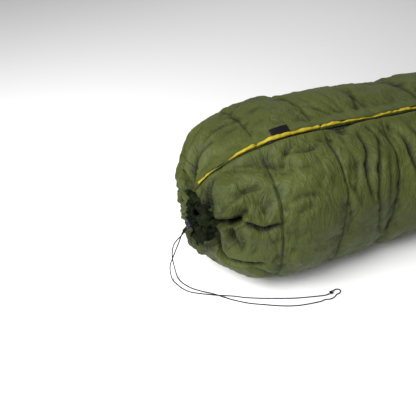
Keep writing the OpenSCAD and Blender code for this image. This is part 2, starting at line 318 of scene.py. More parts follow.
ROUTE_B = [
    (-0.994, -0.102, 0.222), (-0.997, -0.104, 0.216), (-1.000, -0.100, 0.211), (-1.003, -0.097, 0.208),
    (-1.015, -0.097, 0.192), (-1.024, -0.097, 0.180), (-1.031, -0.093, 0.166), (-1.040, -0.085, 0.146),
    (-1.047, -0.079, 0.124), (-1.051, -0.077, 0.096), (-1.051, -0.076, 0.070), (-1.049, -0.077, 0.048),
    (-1.047, -0.079, 0.028), (-1.045, -0.081, 0.012), (-1.043, -0.086, 0.003), (-1.036, -0.103, 0.002),
    (-1.020, -0.125, 0.002), (-0.998, -0.144, 0.0025), (-0.981, -0.157, 0.0046), (-0.966, -0.169, 0.0052),
    (-0.950, -0.182, 0.0046), (-0.932, -0.195, 0.0025), (-0.900, -0.216, 0.002), (-0.861, -0.235, 0.002),
    (-0.820, -0.253, 0.002), (-0.781, -0.265, 0.002), (-0.729, -0.272, 0.002), (-0.713, -0.271, 0.002),
    (-0.699, -0.274, 0.002), (-0.686, -0.272, 0.002), (-0.676, -0.267, 0.002), (-0.667, -0.266, 0.002),
    (-0.661, -0.260, 0.002), (-0.665, -0.254, 0.002), (-0.673, -0.253, 0.002), (-0.681, -0.256, 0.0045),
]
KNOT_AT = (-0.688, -0.259, 0.0058)


def smooth_route(points, steps):
    """The CAD's own smooth curve through a route."""
    p = [np.array(q) for q in points]
    last = len(p) - 1
    out = []
    for i in range(last):
        a, b, c, d = p[max(i - 1, 0)], p[i], p[i + 1], p[min(i + 2, last)]
        for k in range(steps):
            t = k / steps
            out.append((2 * b + (c - a) * t + (2 * a - 5 * b + 4 * c - d) * t ** 2
                        + (3 * b - a - 3 * c + d) * t ** 3) / 2)
    return np.array(out + [p[last]])


def cord_curve(name, points, width, material):
    curve = bpy.data.curves.new(name, "CURVE")
    curve.dimensions = "3D"
    curve.bevel_depth = width / 2
    curve.bevel_resolution = 3
    curve.use_fill_caps = True
    spline = curve.splines.new("POLY")
    spline.points.add(len(points) - 1)
    for place, point in zip(spline.points, points):
        place.co = (*point, 1)
    spline.use_smooth = True
    return add_object(name, curve, material, "sack")


def path_length(points):
    return float(np.linalg.norm(np.diff(points, axis=0), axis=1).sum())


def make_knot(material):
    """An overhand knot drawn up tight, of both strands."""
    turns = np.linspace(0, 2 * math.pi, 120, endpoint=False)
    size = 1.35 * MM
    flat = np.stack([np.sin(turns) + 2 * np.sin(2 * turns), np.cos(turns) - 2 * np.cos(2 * turns),
                     -1.5 * np.sin(3 * turns)], axis=1) * size
    spin = np.array(Matrix.Rotation(math.radians(70), 3, "X") @ Matrix.Rotation(0.5, 3, "Z"))
    path = flat @ spin.T + np.array(KNOT_AT)
    path[:, 2] = np.maximum(path[:, 2], 1.5 * MM)
    return tube_piece("knot", path, np.full(len(path), 1.45 * MM), 10, material, closed=True)


# ---- mesh helpers ----
def piece(name, vertices, faces, material, body="sack", uv=None, hollow=None):
    """A mesh on a body; each vertex has its place on the cloth in metres, uv, and its painted shade, stored
    as hollow.
    """
    mesh = bpy.data.meshes.new(name)
    mesh.from_pydata([tuple(v) for v in np.asarray(vertices, float)], [], [tuple(map(int, f)) for f in faces])
    mesh.shade_smooth()
    # painted shade per vertex, by which the fabric's colour is darkened
    if hollow is not None:
        shade = mesh.attributes.new("hollow", "FLOAT", "POINT")
        shade.data.foreach_set("value", np.asarray(hollow, np.float32))
    if uv is not None:
        layer = mesh.uv_layers.new(name="cloth")
        corners = np.zeros(len(mesh.loops), np.int32)
        mesh.loops.foreach_get("vertex_index", corners)
        layer.data.foreach_set("uv", np.asarray(uv, np.float32)[corners].ravel())
    return add_object(name, mesh, material, body)


def grid_faces(rows, cols, at=0, flip=False):
    i, j = np.meshgrid(np.arange(rows - 1), np.arange(cols - 1), indexing="ij")
    a = (at + i * cols + j).ravel()
    order = (a, a + 1, a + cols + 1, a + cols) if not flip else (a, a + cols, a + cols + 1, a + 1)
    return np.stack(order, axis=1)


def rim_faces(rows, cols):
    """The narrow faces that join two grids around their edge."""
    loop = np.concatenate([
        np.arange(cols), np.arange(1, rows) * cols + cols - 1,
        (rows - 1) * cols + np.arange(cols - 2, -1, -1), np.arange(rows - 2, 0, -1) * cols,
    ])
    after = np.roll(loop, -1)
    both = rows * cols
    return np.stack([loop, loop + both, after + both, after], axis=1)


def slab_piece(name, outer, inner, uv, material, hollow=None):
    """A closed piece of the sack between two grids of points."""
    rows, cols = outer.shape[:2]
    faces = np.concatenate([grid_faces(rows, cols), grid_faces(rows, cols, rows * cols, True),
                            rim_faces(rows, cols)])
    points = np.concatenate([outer.reshape(-1, 3), inner.reshape(-1, 3)])
    # the painted shade goes on both faces of the slab
    if hollow is not None:
        hollow = np.concatenate([hollow.ravel()] * 2)
    return piece(name, points, faces, material, uv=np.concatenate([uv.reshape(-1, 2)] * 2), hollow=hollow)


def normals_of(grid):
    """Unit normals of a grid of points, out of the sack."""
    along = np.gradient(grid, axis=0)
    across = np.gradient(grid, axis=1)
    return unit(np.cross(across, along))


def frames_along(path, closed):
    """Two directions across a path at each point, carried along it without twist."""
    ahead = np.roll(path, -1, axis=0) - np.roll(path, 1, axis=0) if closed else np.gradient(path, axis=0)
    ahead = unit(ahead)
    sides = [unit(np.cross(ahead[0], (0, 0, 1) if abs(ahead[0][2]) < 0.9 else (1, 0, 0)))]
    for direction in ahead[1:]:
        sides.append(unit(sides[-1] - direction * np.dot(sides[-1], direction)))
    sides = np.array(sides)
    return sides, np.cross(ahead, sides)


def tube_points(path, radius, count, closed=False):
    side, up = frames_along(path, closed)
    turn = np.linspace(0, 2 * math.pi, count, endpoint=False)
    ring = np.cos(turn)[None, :, None] * side[:, None] + np.sin(turn)[None, :, None] * up[:, None]
    return path[:, None] + np.asarray(radius)[:, None, None] * ring


def tube_faces(rows, count, closed):
    i, j = np.meshgrid(np.arange(rows if closed else rows - 1), np.arange(count), indexing="ij")
    a, b = (i * count + j).ravel(), (i * count + (j + 1) % count).ravel()
    c, d = ((i + 1) % rows * count + (j + 1) % count).ravel(), ((i + 1) % rows * count + j).ravel()
    faces = [tuple(f) for f in np.stack([a, b, c, d], axis=1)]
    if not closed:
        faces += [tuple(range(count - 1, -1, -1)), tuple(range((rows - 1) * count, rows * count))]
    return faces


def tube_piece(name, path, radius, count, material, body="sack", closed=False):
    points = tube_points(path, radius, count, closed)
    turn = np.linspace(0, 0.03, count)
    along = np.linspace(0, path_length(path), len(path))
    uv = np.stack(np.meshgrid(turn, along), axis=-1).reshape(-1, 2)
    return piece(name, points.reshape(-1, 3), tube_faces(len(path), count, closed), material, body, uv)


def blended(at, places, rows):
    """Rows of a table of points, read off between its places."""
    return np.stack([np.interp(at, places, rows[:, k]) for k in range(3)], axis=1)


def stitch_row(name, path, up, material, length=2.6 * MM, thick=0.45 * MM):
    """Separate stitches standing on a line; up is the cloth's normal along it."""
    along = np.concatenate([[0], np.cumsum(np.linalg.norm(np.diff(path, axis=0), axis=1))])
    at = np.arange(STITCH, along[-1] - STITCH, STITCH)
    middle = blended(at, along, path)
    ahead = unit(blended(at + 0.5 * MM, along, path) - middle)
    lift = blended(at, along, up)
    side = np.cross(ahead, lift)
    rings = []
    for part, fat in ((-0.5, 0.3), (-0.3, 1.0), (0.3, 1.0), (0.5, 0.3)):
        for turn in (0, 90, 180, 270):
            a = math.radians(turn)
            out = math.cos(a) * side + math.sin(a) * lift
            rings.append(middle + ahead * part * length + thick * fat * out)
    points = np.stack(rings, axis=1).reshape(-1, 3)
    one = np.array([[r * 4 + k, r * 4 + (k + 1) % 4, r * 4 + 4 + (k + 1) % 4, r * 4 + 4 + k]
                    for r in range(3) for k in range(4)] + [[3, 2, 1, 0], [12, 13, 14, 15]])
    faces = (np.arange(len(at))[:, None, None] * 16 + one[None]).reshape(-1, 4)
    return piece(name, points, faces, material)


# ---- the sack's surface ----
LENGTH = 2.0
FOOT_WIDTH, LEG_WIDTH, SHOULDER_WIDTH, MOUTH_WIDTH = 0.52, 0.43, 0.60, 0.54
HEIGHT = 0.375
FOOT_ROUND = 0.323
SECTION_N = 2.7
CAP_N = 2.365
NOSE_Z = 0.124
SINK = 0.010
MOUTH = LENGTH - 0.012
GATHER = np.array([0.018, -0.090, 0.227])
GATHER_AXIS = np.array([-0.64, -0.48, 0.60])
GATHER_UP = np.array([0.48, 0.36, 0.80])
GATHER_SIDE = np.array([-0.60, 0.80, 0.0])
GATHER_R = 0.012
HEM_AT = GATHER + 11 * MM * GATHER_AXIS
HEM_R = 12 * MM
NOSE = 0.07
NOSE_BULGE = 0.017
BULGE_FROM, BULGE_OVER = 0.040, 0.060
BULGE_PEAK = 27 / 4  # makes the highest value of t * t * (1 - t) one
FIRST_SHARE = 0.22
SEAM_FRONT, SEAM_BACK = 232, 308
ZIP_Y = -0.070
SLOT = 0.014


def ease(a, b, t):
    return a + (b - a) * (1 - np.cos(np.pi * np.clip(t, 0, 1))) / 2


def width_at(s):
    foot = ease(FOOT_WIDTH, LEG_WIDTH, s / 0.55)
    leg = ease(LEG_WIDTH, SHOULDER_WIDTH, (s - 0.75) / 0.6)
    head = ease(SHOULDER_WIDTH, MOUTH_WIDTH, (s - 1.35) / 0.65)
    return np.where(s < 0.55, foot, np.where(s < 1.35, leg, head))


def cap_at(s):
    """The share of the full section that the rounded foot has reached."""
    return (1 - np.clip(1 - s / FOOT_ROUND, 0, 1) ** CAP_N) ** (1 / CAP_N)


def power(x, p):
    return np.sign(x) * np.abs(x) ** p


def section(s, angle, depth=0.0):
    s, a = np.asarray(s, float), np.radians(angle)
    c = cap_at(s)
    w, h = c * width_at(s) / 2 - depth, c * HEIGHT / 2 - depth
    off = (1 - c) ** 3
    y = GATHER[1] * off + w * power(np.cos(a), 2 / SECTION_N)
    middle = NOSE_Z + (HEIGHT / 2 - NOSE_Z) * c + (GATHER[2] - NOSE_Z) * off
    z = middle + np.where(np.sin(a) < 0, h + SINK * c, h) * power(np.sin(a), 2 / SECTION_N)
    return np.stack(np.broadcast_arrays(s, y, np.maximum(z, depth)), axis=-1)


FIRST_S = float(FOOT_ROUND * (1 - math.cos(math.radians(24)) ** (2 / CAP_N)))
FINE_S = np.linspace(FIRST_S, MOUTH, 4000)
FINE_V = NOSE + np.append(0, np.cumsum(np.hypot(np.diff(FINE_S), FIRST_SHARE * np.diff(cap_at(FINE_S)))))
LAST_V = float(FINE_V[-1])


def s_of(v):
    """How far along the sack, from the foot's end, a distance along the fabric is."""
    return np.interp(v, FINE_V, FINE_S)


def v_of(s):
    return np.interp(s, FINE_S, FINE_V)


def surface(v, angle):
    """Points of the plain surface, in the CAD's frame."""
    v, angle = np.broadcast_arrays(np.asarray(v, float), np.asarray(angle, float))
    t = np.clip(v / NOSE, 0, 1)[..., None]
    a = np.radians(angle)[..., None]
    mouth = GATHER + GATHER_R * (np.cos(a) * GATHER_SIDE + np.sin(a) * GATHER_UP)
    full = section(np.where(v < NOSE, FIRST_S, s_of(v)), angle)
    share = np.clip((np.linalg.norm(full - GATHER, axis=-1) - BULGE_FROM) / BULGE_OVER, 0, 1)
    out = (1 - t) * mouth + t * full
    out[..., 0] -= (BULGE_PEAK * NOSE_BULGE * t * t * (1 - t))[..., 0] * share + LENGTH / 2
    return out


def edge_angle(s, y):
    """The angle of a line that runs beside the ridge, |y| from the middle on the full section."""
    return 90 + np.degrees(np.arcsin((np.abs(y) / (width_at(s) / 2)) ** (SECTION_N / 2)))


FRONT_COLS, BASE_COLS, BACK_COLS = 104, 24, 92


def column_angles(s):
    """Evenly spaced angles from the front edge of the zip round to its back edge."""
    ends = (edge_angle(s, ZIP_Y - SLOT / 2), SEAM_FRONT, SEAM_BACK, 360 + edge_angle(s, ZIP_Y + SLOT / 2))
    out = []
    for low, high, count in zip(ends[:-1], ends[1:], (FRONT_COLS, BASE_COLS, BACK_COLS)):
        fine = np.linspace(low, high, 240)
        run = np.concatenate([[0], np.cumsum(np.linalg.norm(np.diff(section(s, fine), axis=0), axis=1))])
        out.append(np.interp(np.arange(count) / count * run[-1], run, fine))
    return np.concatenate([*out, [ends[-1]]])


ROWS = np.concatenate([
    np.linspace(0, NOSE, 15)[:-1], np.linspace(NOSE, 0.66, 136)[:-1], np.linspace(0.66, LAST_V, 150),
])
ANGLES = np.array([column_angles(float(s_of(max(v, NOSE)))) for v in ROWS])
PLAIN = surface(ROWS[:, None], ANGLES)
OUT = normals_of(PLAIN)
ROUND = np.concatenate([np.zeros((len(ROWS), 1)),
                        np.cumsum(np.linalg.norm(np.diff(PLAIN, axis=1), axis=2), axis=1)], axis=1)


# how far the crumpled hem band, near black partly as painted shade, spreads from the gather, by angle; the
# fabric's painted shade around the gather follows it too
BAND_ANGLES = (0, 40, 66, 90, 110, 140, 165, 190, 230, 280, 330, 360)
BAND_REACH = (0.013, 0.014, 0.018, 0.050, 0.085, 0.100, 0.104, 0.058, 0.032, 0.013, 0.012, 0.013)


def band_reach(angle):
    return np.interp(np.asarray(angle) % 360, BAND_ANGLES, BAND_REACH)


# ---- folds ----
def ripple(places, scale, seed):
    """Smooth noise from -1 to 1 at each point."""
    flat = places.reshape(-1, 3) * scale + seed * 7.3
    return np.array([noise.noise(Vector(p)) for p in flat]).reshape(places.shape[:-1]) * 2


def nearest_on(line, places):
    """For each place: how far the line is, and which of the line's points is nearest."""
    flat = places.reshape(-1, 3)
    best = np.full(len(flat), np.inf)
    index = np.zeros(len(flat), int)
    for k, q in enumerate(line):
        away = ((flat - q) ** 2).sum(1)
        closer = away < best
        best[closer], index[closer] = away[closer], k
    return np.sqrt(best).reshape(places.shape[:-1]), index.reshape(places.shape[:-1])


def dense(points, steps=14):
    """A line of (v in mm, angle) points on the surface, filled in smoothly."""
    route = smooth_route(points, steps)
    return surface(route[:, 0] * MM, route[:, 1])


FOLD_RIDGE = 0.3  # the raised sides of a crease, as a share of its depth


def fold(points, depth, width, lean):
    """Height of a crease pressed along a line; lean makes one side steep, and depth < 0 raises it."""
    line = dense(points)
    reach = 5 * width
    box_low, box_high = line.min(0) - reach, line.max(0) + reach
    near = ((PLAIN > box_low) & (PLAIN < box_high)).all(-1)
    height = np.zeros(PLAIN.shape[:2])
    if not near.any():
        return height
    places = PLAIN[near]
    away, index = nearest_on(line, places)
    ahead = np.gradient(line, axis=0)
    side = unit(np.cross(OUT[near], ahead[index]))
    sign = np.sign(((places - line[index]) * side).sum(-1))
    x = away / (width * (1 + lean * sign))
    share = index / (len(line) - 1)
    fade = np.sin(np.pi * np.clip(share * 0.86 + 0.07, 0, 1)) ** 0.6
    height[near] = depth * fade * (FOLD_RIDGE * np.exp(-((x - 1.9) ** 2)) - np.exp(-1.2 * np.abs(x) ** 1.5))
    return height


# the foot's lobes, and one flat place on the far side: v in mm, angle, size in mm and height in mm
MOUNDS = [
    (145, 126, 55, 20), (110, 112, 30, 6), (30, 262, 35, 14), (50, 232, 30, 8),
    (150, 168, 40, 6), (70, 80, 30, 6), (330, 56, 70, -9),
]


def mound(v, angle, size, lift):
    away = np.linalg.norm(PLAIN - surface(v, angle), axis=-1)
    return lift * np.exp(-((away / size) ** 2))


# (line of (v in mm, angle) points, depth in mm, half width in mm, lean)
FOLDS = [
    # the deep pocket beside the big lobe, and the folds that run out of it
    (((125, 152), (140, 150), (155, 147), (172, 143)), 30, 9, 0.3),
    (((130, 153), (155, 151), (180, 156), (200, 160), (230, 160)), 20, 9, -0.3),
    (((130, 153), (135, 165), (150, 175)), 17, 8, 0.0),
    (((160, 178), (158, 168), (150, 158)), 8, 7, 0.0),
    # the long valley from the gather down to the base
    (((80, 148), (90, 162), (95, 179), (110, 185), (130, 189), (165, 187), (200, 186)), 24, 8, 0.3),
    (((75, 150), (80, 168), (88, 186)), 14, 7, 0.0),
    (((170, 187), (200, 192), (240, 200)), 8, 9, 0.0),
    # the edge of the big lobe above the gather, and its crease
    (((160, 101), (135, 104), (115, 112), (95, 128), (90, 142), (100, 152)), 20, 9, 0.3),
    (((140, 134), (165, 130), (190, 127), (215, 128)), 9, 9, 0.4),
    (((150, 113), (180, 117), (210, 124)), 4, 9, 0.0),
    (((85, 146), (100, 149), (115, 151), (131, 152), (150, 151)), 20, 7, 0.2),
    # the lobes to the left of the gather
    (((20, 350), (30, 8), (45, 20), (80, 30)), 16, 9, 0.0),
    (((12, 272), (45, 282), (80, 285)), 14, 9, 0.0),
    (((30, 200), (50, 226), (80, 232)), 13, 8, 0.0),
    (((20, 45), (50, 55), (90, 56), (140, 50)), 13, 10, 0.2),
    (((20, 320), (60, 325), (100, 328)), 10, 9, 0.0),
    # the pocket behind the flap's end, and the ridge beyond it
    (((75, 92), (100, 88), (120, 86), (145, 85), (168, 85)), 20, 9, 0.2),
    (((35, 68), (70, 78), (110, 78), (160, 75), (200, 74)), -9, 8, 0.0),
    (((50, 62), (90, 66), (130, 65), (180, 62)), 8, 9, 0.2),
    (((120, 82), (160, 80), (210, 79), (250, 80)), 7, 7, 0.0),
    (((200, 66), (240, 72), (260, 80)), 5, 8, 0.0),
    # pulls below the zip
    (((275, 117), (285, 112), (310, 107), (335, 104)), 9, 7, 0.3),
    (((295, 110), (330, 113), (360, 113), (385, 108)), 7, 7, 0.3),
    (((250, 112), (265, 115), (290, 117)), 4, 6, 0.0),
    (((290, 131), (320, 136), (355, 143)), 3, 8, 0.0),
    (((265, 146), (300, 143), (340, 147)), 6, 10, 0.3),
    (((245, 147), (280, 154), (320, 150)), 4, 9, 0.0),
    # the upright folds between the second and third seams
    (((435, 121), (420, 132), (405, 146), (402, 160), (420, 174)), 4, 7, 0.3),
    (((470, 112), (470, 124), (455, 136), (452, 148), (465, 162)), 9, 8, 0.4),
    (((515, 118), (495, 132), (480, 146), (480, 160), (500, 178), (530, 188)), 9, 8, 0.4),
    (((440, 128), (430, 140), (420, 152)), 6, 7, -0.3),
    (((530, 128), (520, 140), (515, 156), (520, 170)), 5, 7, 0.0),
    (((580, 118), (588, 130), (590, 142), (600, 158)), 10, 9, 0.3),
    (((610, 112), (625, 124), (640, 140)), 8, 9, 0.0),
    (((560, 178), (550, 186), (565, 194)), 5, 7, 0.0),
    # pulls that fan out from the place where the zip dips
    (((490, 99), (480, 93), (465, 87), (450, 80)), 4, 6, 0.0),
    (((495, 98), (490, 90), (485, 82), (480, 72)), 5, 6, 0.2),
    (((520, 96), (540, 90), (560, 84), (575, 74)), 7, 7, 0.3),
    (((470, 97), (450, 91), (420, 86), (390, 83)), 4, 6, 0.0),
    (((500, 103), (510, 112), (515, 124)), 6, 6, 0.2),
    (((480, 104), (475, 114), (465, 126)), 5, 6, 0.2),
    (((530, 102), (555, 108), (580, 116)), 6, 7, 0.0),
    (((450, 104), (435, 111), (430, 120)), 4, 6, 0.0),
    (((550, 101), (590, 104), (630, 104)), 5, 7, 0.0),
    (((410, 103), (405, 110), (390, 120)), 4, 6, 0.0),
]


def scattered_folds():
    """Short creases over the rest of the sack, most of them across it."""
    rng = np.random.default_rng(11)
    folds = []
    for bay in range(13):
        for side in (0, 1):
            for _ in range(7 if bay > 1 else 4):
                v = RING_SEAM_AT + (bay + rng.uniform(-0.02, 1.0)) * RING_SPACING
                angle = rng.uniform(108, 205) if side == 0 else rng.uniform(335, 432)
                if side == 0 and v < 0.66:
                    continue
                run = rng.uniform(8, 30)
                slant = rng.normal(0, 0.018)
                bend = rng.normal(0, 0.008)
                line = [(v, angle), (v + slant * 0.5 + bend, angle + run / 2), (v + slant, angle + run)]
                line = [(along / MM, turn) for along, turn in line]
                folds.append((line, rng.uniform(3, 9), rng.uniform(6, 9), rng.uniform(-0.4, 0.4)))
    return folds


def seam_wobble(angles):
    a = np.radians(angles)
    return 3 * MM * np.sin(3 * a + 0.6) + 2 * MM * np.sin(7 * a)


def seam_distance(v):
    """How far a place is from the nearest sewn ring."""
    return np.abs((v - RING_SEAM_AT + RING_SPACING / 2) % RING_SPACING - RING_SPACING / 2)


def relief():
    """How far the fabric stands out of the plain surface, for each point of the grid."""
    v = ROWS[:, None] + seam_wobble(ANGLES)
    body = np.clip((ROWS[:, None] - 0.05) / 0.1, 0, 1)
    height = 5 * MM * ripple(PLAIN, 7, 1) + 2.2 * MM * ripple(PLAIN, 22, 2)
    rows_in = (v > RING_SEAM_AT - RING_SPACING * 0.45)
    away = np.where(rows_in, seam_distance(v), RING_SPACING / 2)
    height += body * 5 * MM * (np.clip(away / (RING_SPACING / 2), 0, 1) ** 0.5 - 0.75)
    height -= 1.8 * MM * np.exp(-((away / (4 * MM)) ** 2))
    pucker = np.sin(ROUND / 0.011 + 4 * ripple(PLAIN, 12, 3)) * np.exp(-((away / 0.016) ** 2))
    height += 0.9 * MM * pucker
    for place, angle, size, lift in MOUNDS:
        height += mound(place * MM, angle, size * MM, lift * MM)
    for seam in (SEAM_FRONT, SEAM_BACK):
        beside = np.abs(ANGLES - seam) * np.pi / 180 * 0.22
        height -= 3 * MM * np.exp(-((beside / 0.006) ** 2))
    height *= beside_stitching()
    # the padded edge in front of the zip stands up, apart from one dip that shows the zip
    dip = np.exp(-(((s_of(ROWS) - 0.362) / 0.028) ** 2))[:, None]
    edge = np.exp(-(((ROUND - 0.006) / 0.011) ** 2)) * np.clip(ROWS[:, None] / 0.2, 0, 1)
    height += (9 - 17 * dip) * MM * edge
    # around the gather: many small pleats
    a = np.radians(ANGLES)
    near = np.exp(-((ROWS[:, None] - 0.03) / 0.03) ** 2) * np.clip(ROWS[:, None] / 0.02, 0, 1)
    height += near * 3.6 * MM * np.sin(19 * a + 3 * ripple(PLAIN, 30, 5))
    return height


def beside_stitching():
    """Close to the zip the fabric lies flat under its stitching."""
    from_edge = np.minimum(ROUND, ROUND[:, -1:] - ROUND)
    return 1 - 0.8 * np.exp(-((from_edge / 0.022) ** 2))


def creases():
    """Depth of the placed folds, the scattered ones and two layers of fine crumple."""
    height = sum(fold(line, depth * MM, width * MM, lean)
                 for line, depth, width, lean in FOLDS + scattered_folds())
    broad = ripple(PLAIN * (1.5, 1, 1), 11, 21)
    height -= 2.4 * MM * np.exp(-((broad / 0.2) ** 2)) * np.clip(0.6 + ripple(PLAIN, 6, 23), 0, 1)
    fine = ripple(PLAIN * (1.3, 1, 1), 23, 22)
    height -= 1.4 * MM * np.exp(-((fine / 0.3) ** 2))
    return height * beside_stitching()


def painted_shade_of(points):
    """Painted shade from 0 to 1: how deep each place lies among its neighbours, and how near it lies to the
    gather.
    """
    shown = ((points - PLAIN) * OUT).sum(-1)
    mean = shown
    for _ in range(3):
        for axis in (0, 1):
            mean = np.mean([np.roll(mean, step, axis) for step in range(-3, 4)], axis=0)
    # painted shade in the creases and hollows, where shadow falls
    painted_crease_shade = np.clip((mean - shown - 1.1 * MM) / (6.5 * MM), 0, 1) ** 0.8
    # painted shade around the gather, where the deep pleats lie in shadow
    gathered = np.clip(1.7 - ROWS[:, None] / band_reach(ANGLES), 0, 1) * (0.8 + 0.5 * ripple(PLAIN, 60, 17))
    return np.clip(np.maximum(painted_crease_shade, gathered), 0, 1)


CLOTH_SETTINGS = {
    "quality": 5, "mass": 0.15, "tension_stiffness": 25, "compression_stiffness": 25, "shear_stiffness": 12,
    "bending_stiffness": 0.08, "vertex_group_mass": "sewn", "shrink_min": -0.035, "use_pressure": True,
    "uniform_pressure_force": 1.2,
}
MOST_PUFF = 12 * MM


def settle(points, pinned, frames=18):
    """Cloth simulation: the fabric, a little too large for its seams, puffs and wrinkles between them."""
    rows, cols = points.shape[:2]
    mesh = bpy.data.meshes.new("settling")
    mesh.from_pydata([tuple(p) for p in points.reshape(-1, 3)], [], grid_faces(rows, cols).tolist())
    cloth = add_object("settling", mesh)
    group = cloth.vertex_groups.new(name="sewn")
    group.add([int(i) for i in np.flatnonzero(pinned.ravel())], 1.0, "REPLACE")
    modifier = cloth.modifiers.new("cloth", "CLOTH")
    for key, value in CLOTH_SETTINGS.items():
        setattr(modifier.settings, key, value)
    modifier.settings.effector_weights.gravity = 0
    modifier.collision_settings.use_collision = False
    scene = bpy.context.scene
    start = scene.frame_current
    for step in range(1, frames + 1):
        scene.frame_set(step)
    shown = cloth.evaluated_get(bpy.context.evaluated_depsgraph_get())
    moved = np.zeros(rows * cols * 3, np.float32)
    shown.data.vertices.foreach_get("co", moved)
    bpy.data.objects.remove(cloth)
    scene.frame_set(start)
    change = moved.reshape(points.shape).astype(float) - points
    size = np.linalg.norm(change, axis=-1, keepdims=True)
    return points + change * MOST_PUFF * np.tanh(size / MOST_PUFF) / (size + 1e-9)


def sewn_points(points):
    v = ROWS[:, None] + seam_wobble(ANGLES)
    pinned = (seam_distance(v) < 4.6 * MM) & (v > RING_SEAM_AT - 0.02)
    pinned |= (ANGLES > SEAM_FRONT - 2) & (ANGLES < SEAM_BACK + 2)
    pinned |= points[..., 2] < 0.012
    pinned |= (ROWS < 0.09)[:, None] | (ROWS > LAST_V - 0.012)[:, None]
    pinned[:, :4] = True
    pinned[:, -7:] = True
    return pinned


def make_surface():
    points = PLAIN + OUT * relief()[..., None]
    points[..., 2] = np.maximum(points[..., 2], 0.4 * MM)
    points = settle(points, sewn_points(points))
    points = points + OUT * creases()[..., None]
    points[..., 2] = np.maximum(points[..., 2], 0.4 * MM)
    return points


SHELL = make_surface()
# painted shade of the fabric: its creases and the gather's surroundings, darkened in its colour
PAINTED_SHADE = painted_shade_of(SHELL)
SHELL_OUT = normals_of(SHELL)
CLOTH = np.stack([ROUND, ROWS[:, None] + seam_wobble(ANGLES)], axis=-1)
PANELS = {"front": (0, FRONT_COLS), "base": (FRONT_COLS, FRONT_COLS + BASE_COLS),
          "back": (FRONT_COLS + BASE_COLS, FRONT_COLS + BASE_COLS + BACK_COLS)}


def lowest_near(height, reach):
    """The lowest value within a few rows and columns of each place."""
    for axis in (0, 1):
        height = np.min([np.roll(height, step, axis) for step in range(-reach, reach + 1)], axis=0)
    return height


def under(depth):
    """The grid again, a depth below the plain surface, pressed in where the fabric above it is."""
    shown = ((SHELL - PLAIN) * OUT).sum(-1)
    pressed = np.minimum(lowest_near(shown, 4) + 3 * MM, 0)
    points = PLAIN + OUT * (pressed - depth)[..., None]
    points[..., 2] = np.maximum(points[..., 2], depth * 0.95)
    return points


def on_shell(v, angles, lift):
    """Points above the shown fabric, for one distance and several angles."""
    r = float(np.interp(v, ROWS, np.arange(len(ROWS))))
    i = min(int(r), len(ROWS) - 2)
    f = r - i
    angle_row = (1 - f) * ANGLES[i] + f * ANGLES[i + 1]
    spots = (1 - f) * SHELL[i] + f * SHELL[i + 1]
    out = (1 - f) * SHELL_OUT[i] + f * SHELL_OUT[i + 1]
    spot = blended(angles, angle_row, spots)
    way = unit(blended(angles, angle_row, out))
    return spot + way * np.asarray(lift)[:, None], way


SHELL_T = 0.8 * MM
EDGE_ROLL = ((0.8, 0.14), (1.4, 0.48), (1.4, 1.0))  # mm into the slot, and share of the way down to the zip
EDGE_DOWN = 8.4 * MM


def with_edges(name, grid, out, uv, hollow):
    """Adds the turned-down edge beside the zip to a panel's grid, with painted shade that darkens it down
    into the slot.
    """
    if name == "base":
        return grid, out, uv, hollow
    at = 0 if name == "front" else -1
    step = grid[:, 1] - grid[:, 0] if name == "front" else grid[:, -2] - grid[:, -1]
    into = -step / np.linalg.norm(step, axis=1, keepdims=True)
    shrink = np.clip(ROWS / 0.15, 0.15, 1)[:, None]
    rise = ((grid[:, at] - PLAIN[:, at]) * OUT[:, at]).sum(-1, keepdims=True)
    extra, ways, more = [], [], []
    for over, part in EDGE_ROLL:
        down = part * (shrink * EDGE_DOWN + rise)
        extra.append(grid[:, at] + shrink * over * MM * into - down * out[:, at])
        ways.append(0.5 * out[:, at] + into if part < 0.2 else into)
        more.append(uv[:, at] - np.array([part * 0.01, 0]) * (1 if name == "front" else -1))
    extra, ways, more = (np.stack(x, axis=1) for x in (extra, ways, more))
    ways /= np.linalg.norm(ways, axis=-1, keepdims=True)
    # painted shade on the turned-down edge: 0.1, 0.5 and 0.9 towards near black, darker deeper into the slot
    # where shadow falls
    shade = np.tile((0.1, 0.5, 0.9), (len(ROWS), 1))
    if name == "front":
        sides = ((extra[:, ::-1], grid), (ways[:, ::-1], out), (more[:, ::-1], uv), (shade[:, ::-1], hollow))
    else:
        sides = ((grid, extra), (out, ways), (uv, more), (hollow, shade))
    return [np.concatenate(pair, axis=1) for pair in sides]


def make_panels(shell, batting, lining):
    lined = lining_grid()
    for name, (first, last) in PANELS.items():
        cols = slice(first, last + 1)
        # the last part is the fabric's painted shade
        parts = [whole[:, cols] for whole in (SHELL, SHELL_OUT, CLOTH, PAINTED_SHADE)]
        grid, out, uv, hollow = with_edges(name, *parts)
        fabric = slab_piece(f"fabric_{name}", grid, grid - out * SHELL_T, uv, shell, hollow=hollow)
        file_under(fabric, f"shell_{name}")
        rows = np.arange(14, len(ROWS) - 3, 3)
        picked = np.unique(np.concatenate([np.arange(first, last + 1, 3), [last]]))
        some = np.ix_(rows, picked)
        pad = slab_piece(f"batting_{name}", under(5 * MM)[some], under(14 * MM)[some], CLOTH[some], batting)
        file_under(pad, f"insulation_{name}")
        inner = lined[14:, cols]
        outer = inner + OUT[14:, cols] * SHELL_T
        cloth = slab_piece(f"lining_cloth_{name}", outer, inner, CLOTH[14:, cols], lining)
        file_under(cloth, f"lining_{name}")


